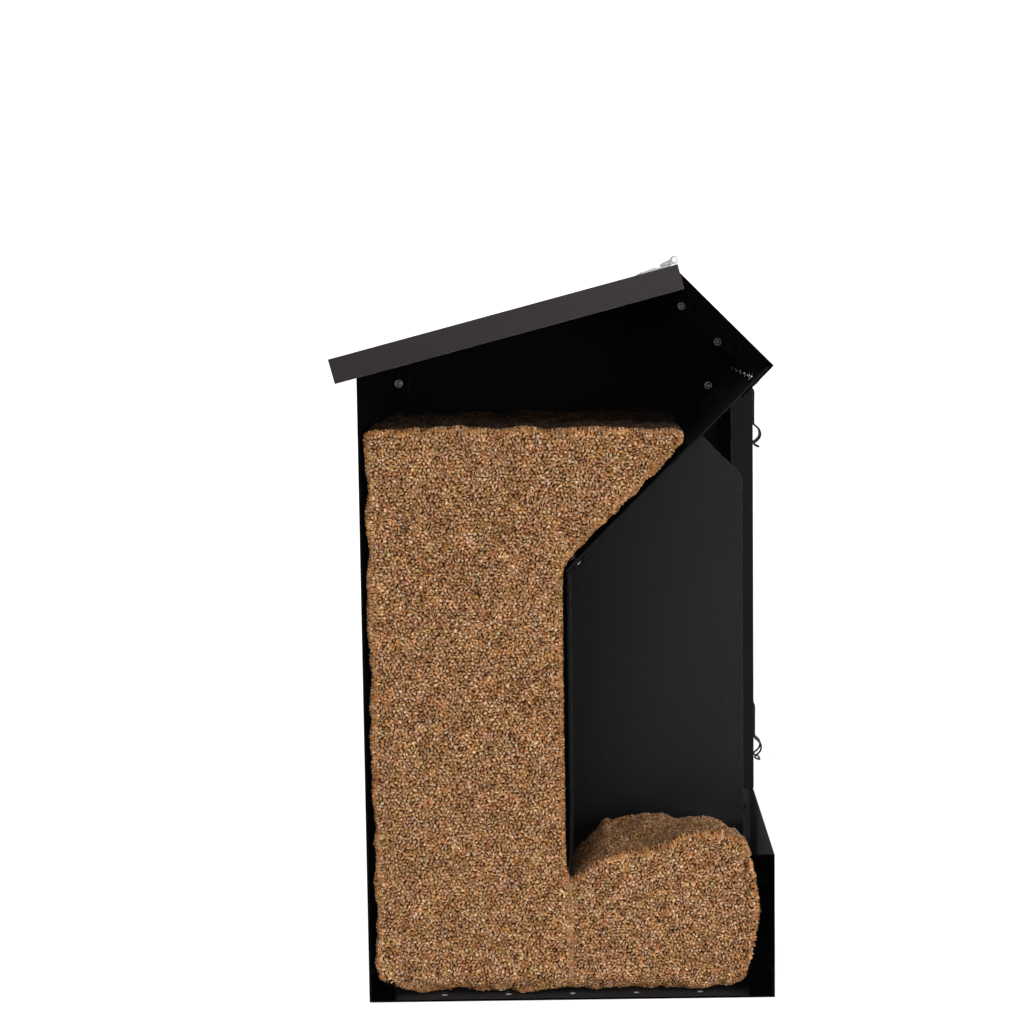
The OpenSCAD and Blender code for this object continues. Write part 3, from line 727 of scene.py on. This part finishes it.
def hopper_sink(v, swell, ripple):
    v = v.copy()
    x, y, z = v.T
    top = np.clip((z - 222) / 12, 0, 1)
    v[:, 2] += top * (swell * 1.5 + ripple * 0.9)
    back = np.clip((-70 - x) / 12, 0, 1) * np.clip((222 - z) / 10, 0, 1)
    v[:, 0] += back * np.maximum(swell * 1.8 + ripple * 1.2, -0.9)
    # the edge along the chute, uneven
    slope = np.clip((x - 3) / 6, 0, 1) * np.clip((z - 184) / 6, 0, 1) * np.clip((234 - z) / 6, 0, 1)
    slip = slope * np.clip(swell * 1.1 + ripple * 1.3, -0.7, 1.2)
    v[:, 0] -= slip * 0.7
    v[:, 2] += slip * 0.7
    draw_back(v, swell, ripple)
    v[:, 1] = v[:, 1].clip(-46.13, 46.1)
    # beside the floor's corner tab the near face swells out over it
    over = ease((-71.2 - x) / 1.4) * ease((z - 5.6) / 1.4) * ease((20 - z) / 5) * (y < -43.5)
    v[:, 1] = np.where(over > 0, np.minimum(v[:, 1], -43.5 - 1.3 * over), v[:, 1]) - over * 0.72
    return v


def trough_sink(v, swell, ripple):
    v = v.copy()
    x, y, z = v.T
    # the heap falls off from both side panels towards the divider
    near = np.interp(x, (0, 10, 17, 26, 39, 46, 55, 62, 67, 69.4, 72.2, 73.9, 76.2),
                     (50.4, 56.3, 60.6, 62.1, 64, 68.5, 69.5, 69.6, 68.4, 67.2, 63.4, 58.8, 51))
    middle = np.interp(x, (0, 14, 31, 41, 47, 64, 71.6, 75.8), (45, 59.6, 62.6, 61.4, 60.2, 59.1, 54.6, 49.6))
    fall = np.clip(1 - np.abs(y) / 44.0, 0, 1) ** 0.75
    high = np.clip((z - 22) / 26, 0, 1)
    v[:, 2] += high * fall * np.minimum(middle - near, 1.6)
    v[:, 2] += np.clip((z - 46) / 10, 0, 1) * (swell * 1.5 + ripple * 1.0)
    side = np.clip((x - 66) / 8, 0, 1) * np.clip((z - 3) / 8, 0, 1)
    v[:, 0] += side * (swell * 0.8 + ripple * 0.6 - 0.2)
    v[:, 0] -= 0.9 * np.maximum(v[:, 0] - 73.4, 0) * ease((y + 1) / 6) * ease((z - 36) / 10)
    draw_back(v, swell, ripple)
    v[:, 1] = v[:, 1].clip(-46.13, 46.1)
    # by the trough's end flange the near face swells out over it; elsewhere the heap stays behind the front wall
    over = ease((x - 71.4) / 1.6) * ease((z - 12.5) / 3) * ease((63.5 - z) / 3) * (y < -43.5)
    v[:, 1] -= over * 0.72
    v[:, 0] = np.where(y > -44.0, np.minimum(v[:, 0], 82.2), v[:, 0])
    return v


hopper_outline = rounded([
    (-80.5, 15), (-79.4, 8.6), (-76.5, 6.2), (-72.8, 4.6), (-69.5, 2.4), (-60, 2.0), (-30, 1.9), (0.6, 1.9), (1.3, 8),
    (1.3, 30), (1.2, 47.0), (-1.4, 51.6), (-2.5, 60), (-2.5, 120), (-2.5, 170), (-2.2, 178.8), (1.2, 184.4), (20, 202.6),
    (44, 226.4),
    (47.6, 231.0), (46.4, 234.6), (40.5, 235.9), (10, 236.0), (-40, 236.2), (-76, 236.1), (-79.6, 235.9), (-80.9, 235.2),
    (-81.3, 233.6), (-81.2, 229), (-80.6, 222), (-80.4, 160), (-80.4, 80)], 3)
trough_outline = rounded([
    (-2.3, 8), (-1.6, 2.0), (20, 1.9), (50, 1.9), (66, 2.6), (71.4, 6.4), (73.0, 12), (75.6, 21), (77.9, 30), (78.1, 40),
    (76.2, 51), (73.9, 59), (72.2, 63.8), (69.4, 67.6), (62, 69.9), (54, 69.7), (46.5, 68.6), (42.5, 66.2), (36, 63.6),
    (26, 62.2), (17, 60.4), (9.5, 56.2), (3, 52.3), (0.2, 50.6), (-2.2, 48.4), (-2.4, 30)], 3)

hopper = feed_body("feed_hopper", hopper_outline, 45.65, 1.1, 2.15,
                   lambda x, z: (z > 228), 11, hopper_sink, 3.0)
trough = feed_body("feed_trough", trough_outline, 45.65, 1.2, 2.0,
                   lambda x, z: (z > 47) & (x > -0.9), 12, trough_sink, 2.3)
grain_finish = feed_material()
for piece in (hopper, trough):
    piece.data.materials.append(grain_finish)
    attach(piece, "housing")


# ------------------------------------------------------------------ stage and light

def make_stage():
    mesh = bpy.data.meshes.new("floor")
    r = 3.0
    mesh.from_pydata([(-r, -r, 0), (r, -r, 0), (r, r, 0), (-r, r, 0)], [], [(0, 1, 2, 3)])
    floor = bpy.data.objects.new("floor", mesh)
    bpy.context.collection.objects.link(floor)
    m = bpy.data.materials.new("pale_floor")
    m.use_nodes = True
    nt = m.node_tree
    nt.nodes.clear()
    out = nt.nodes.new("ShaderNodeOutputMaterial")
    matt = add(nt, "ShaderNodeBsdfDiffuse", Color=(0.42, 0.42, 0.42, 1))
    # painted shadow: under the object itself the floor's glow is turned down, which its dust holes show
    apart = add(nt, "ShaderNodeSeparateXYZ", Vector=place(nt))
    across = math_of(nt, "DIVIDE", math_of(nt, "ABSOLUTE", apart.outputs["X"]), 0.0835)
    along = math_of(nt, "DIVIDE", math_of(nt, "ABSOLUTE", apart.outputs["Y"]), 0.047)
    bare = spread(nt, math_of(nt, "MAXIMUM", across, along), 0.96, 0.99, 0.18, 0.78)
    glow = add(nt, "ShaderNodeEmission", Color=(1, 1, 1, 1), Strength=bare)
    pale = nt.nodes.new("ShaderNodeAddShader")
    nt.links.new(matt.outputs[0], pale.inputs[0])
    nt.links.new(glow.outputs[0], pale.inputs[1])
    gone = nt.nodes.new("ShaderNodeBsdfTransparent")
    away = add(nt, "ShaderNodeVectorMath", {"operation": "LENGTH"}, _0=place(nt)).outputs["Value"]
    share = nt.nodes.new("ShaderNodeMixShader")
    nt.links.new(spread(nt, away, 0.35, 1.3, 0.0, 1.0, True), share.inputs[0])
    nt.links.new(pale.outputs[0], share.inputs[1])
    nt.links.new(gone.outputs[0], share.inputs[2])
    nt.links.new(share.outputs[0], out.inputs["Surface"])
    mesh.materials.append(m)
    floor.location = (0, 0, -0.0002)


def area_light(name, at, to, size, watts, colour=(1, 1, 1)):
    data = bpy.data.lights.new(name, "AREA")
    data.shape = "SQUARE"
    data.size = size
    data.energy = watts
    data.color = colour
    lamp = bpy.data.objects.new(name, data)
    bpy.context.collection.objects.link(lamp)
    lamp.location = at
    lamp.rotation_mode = "QUATERNION"
    lamp.rotation_quaternion = (Vector(to) - Vector(at)).to_track_quat("-Z", "Y")


def make_world():
    world = bpy.data.worlds.new("studio")
    scene.world = world
    world.use_nodes = True
    nt = world.node_tree
    nt.nodes.clear()
    out = nt.nodes.new("ShaderNodeOutputWorld")
    seen = add(nt, "ShaderNodeBackground", Color=(1, 1, 1, 1), Strength=1.3)
    lit = add(nt, "ShaderNodeBackground", Color=(1, 1, 1, 1), Strength=0.18)
    path = nt.nodes.new("ShaderNodeLightPath")
    both = nt.nodes.new("ShaderNodeMixShader")
    nt.links.new(path.outputs["Is Camera Ray"], both.inputs[0])
    nt.links.new(lit.outputs[0], both.inputs[1])
    nt.links.new(seen.outputs[0], both.inputs[2])
    nt.links.new(both.outputs[0], out.inputs["Surface"])


make_stage()
make_world()
area_light("key", (1.0, -1.35, 0.20), (0.0, 0.0, 0.14), 0.4, 28)
area_light("fill", (0.12, -1.40, 0.60), (0.04, 0.0, 0.12), 0.4, 3.2)
area_light("front", (1.25, -0.55, 0.75), (0.03, -0.02, 0.08), 0.4, 12)
area_light("high", (-0.30, -0.85, 1.25), (0.05, 0.0, 0.10), 0.5, 10)
area_light("back", (-0.7, 1.3, 0.9), (0.0, 0.0, 0.15), 1.0, 20)
